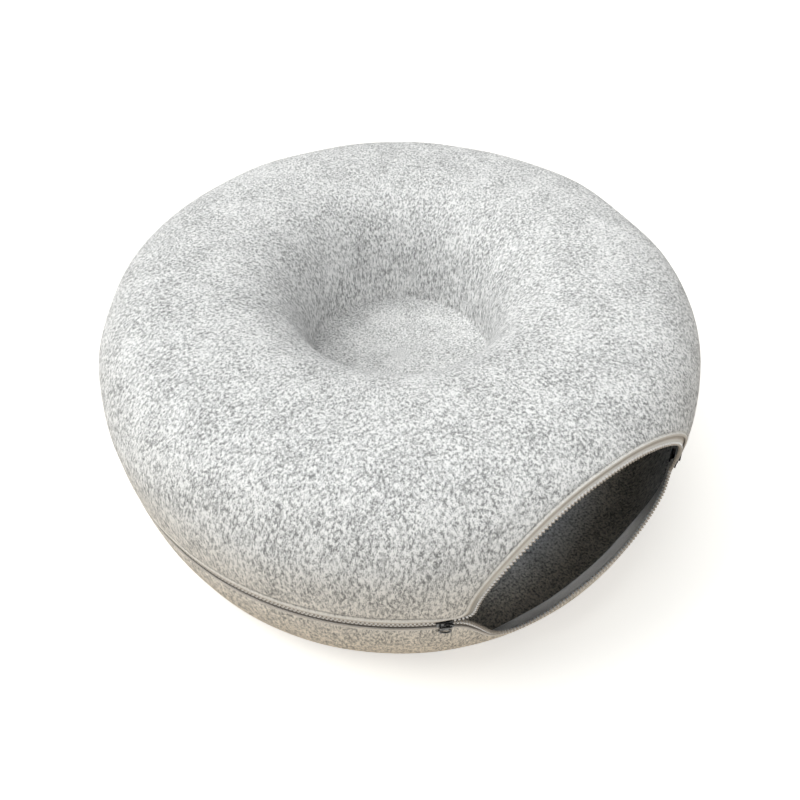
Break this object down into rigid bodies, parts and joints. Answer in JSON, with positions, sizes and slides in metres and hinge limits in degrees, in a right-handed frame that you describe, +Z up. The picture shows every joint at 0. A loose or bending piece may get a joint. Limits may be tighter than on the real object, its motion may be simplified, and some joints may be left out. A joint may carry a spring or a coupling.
{
  "type": "donut cat tunnel",
  "caption": "Round felt tunnel for a cat with a zipped waist, an arched mouth, a sunken middle and a zipped hub inside.",
  "frame": {"origin": "on the body's axis, on the floor it stands on", "axes": "+Z up along the body's axis, -Y out of the middle of the mouth"},
  "size_m": [0.5, 0.498, 0.2],
  "materials": {
    "felt": "moulded heather-grey felt",
    "zip_tape": "woven beige tape",
    "zip_teeth": "bright white, moulded",
    "black_metal": "black, semi-gloss"
  },
  "bodies": {
    "lower_half": {"lower_shell": "felt", "waist_lower_tape": "zip_tape", "waist_lower_teeth": "zip_teeth", "mouth_lower_teeth": "zip_teeth", "hub_lower_tape": "zip_tape", "hub_lower_coil": "zip_teeth", "hub_lower_stop": "zip_teeth", "hub_box": "zip_teeth"},
    "upper_half": {"upper_shell": "felt", "waist_upper_tape": "zip_tape", "waist_upper_teeth": "zip_teeth", "mouth_upper_teeth": "zip_teeth", "hub_upper_tape": "zip_tape", "hub_upper_coil": "zip_teeth", "hub_upper_stop": "zip_teeth", "hub_pin": "zip_teeth"},
    "left_slider": {"left_slider": "black_metal"},
    "left_pull": {"left_pull": "black_metal"},
    "right_slider": {"right_slider": "black_metal"},
    "right_pull": {"right_pull": "black_metal"},
    "hub_slider": {"hub_slider": "black_metal"},
    "hub_pull": {"hub_pull": "black_metal"}
  },
  "joints": [
    {"name": "upper_half_lift", "type": "slide", "parent": "lower_half", "child": "upper_half", "axis": [0, 0, 1], "range_m": [0, 0.1]},
    {"name": "left_slider_run", "type": "hinge", "parent": "lower_half", "child": "left_slider", "pos_m": [0, 0, 0.088], "axis": [0, 0, -1], "range_deg": [0, 148], "deforming": ["waist_upper_teeth", "waist_lower_teeth"]},
    {"name": "left_pull_swing", "type": "hinge", "parent": "left_slider", "child": "left_pull", "pos_m": [-0.11838, -0.22014, 0.088], "axis": [-0.4849, -0.8746, 0], "range_deg": [-30, 250]},
    {"name": "right_slider_run", "type": "hinge", "parent": "lower_half", "child": "right_slider", "pos_m": [0, 0, 0.088], "axis": [0, 0, 1], "range_deg": [0, 148], "deforming": ["waist_upper_teeth", "waist_lower_teeth"]},
    {"name": "right_pull_swing", "type": "hinge", "parent": "right_slider", "child": "right_pull", "pos_m": [0.11838, -0.22014, 0.088], "axis": [0.4849, -0.8746, 0], "range_deg": [-250, 30]},
    {"name": "hub_slider_run", "type": "hinge", "parent": "lower_half", "child": "hub_slider", "pos_m": [0, 0, 0.09585], "axis": [0, 0, -1], "range_deg": [0, 329], "deforming": ["hub_upper_coil", "hub_lower_coil"]},
    {"name": "hub_pull_swing", "type": "hinge", "parent": "hub_slider", "child": "hub_pull", "pos_m": [0.02031, 0.08815, 0.09585], "axis": [0.2588, 0.9659, 0], "range_deg": [-30, 250]}
  ]
}
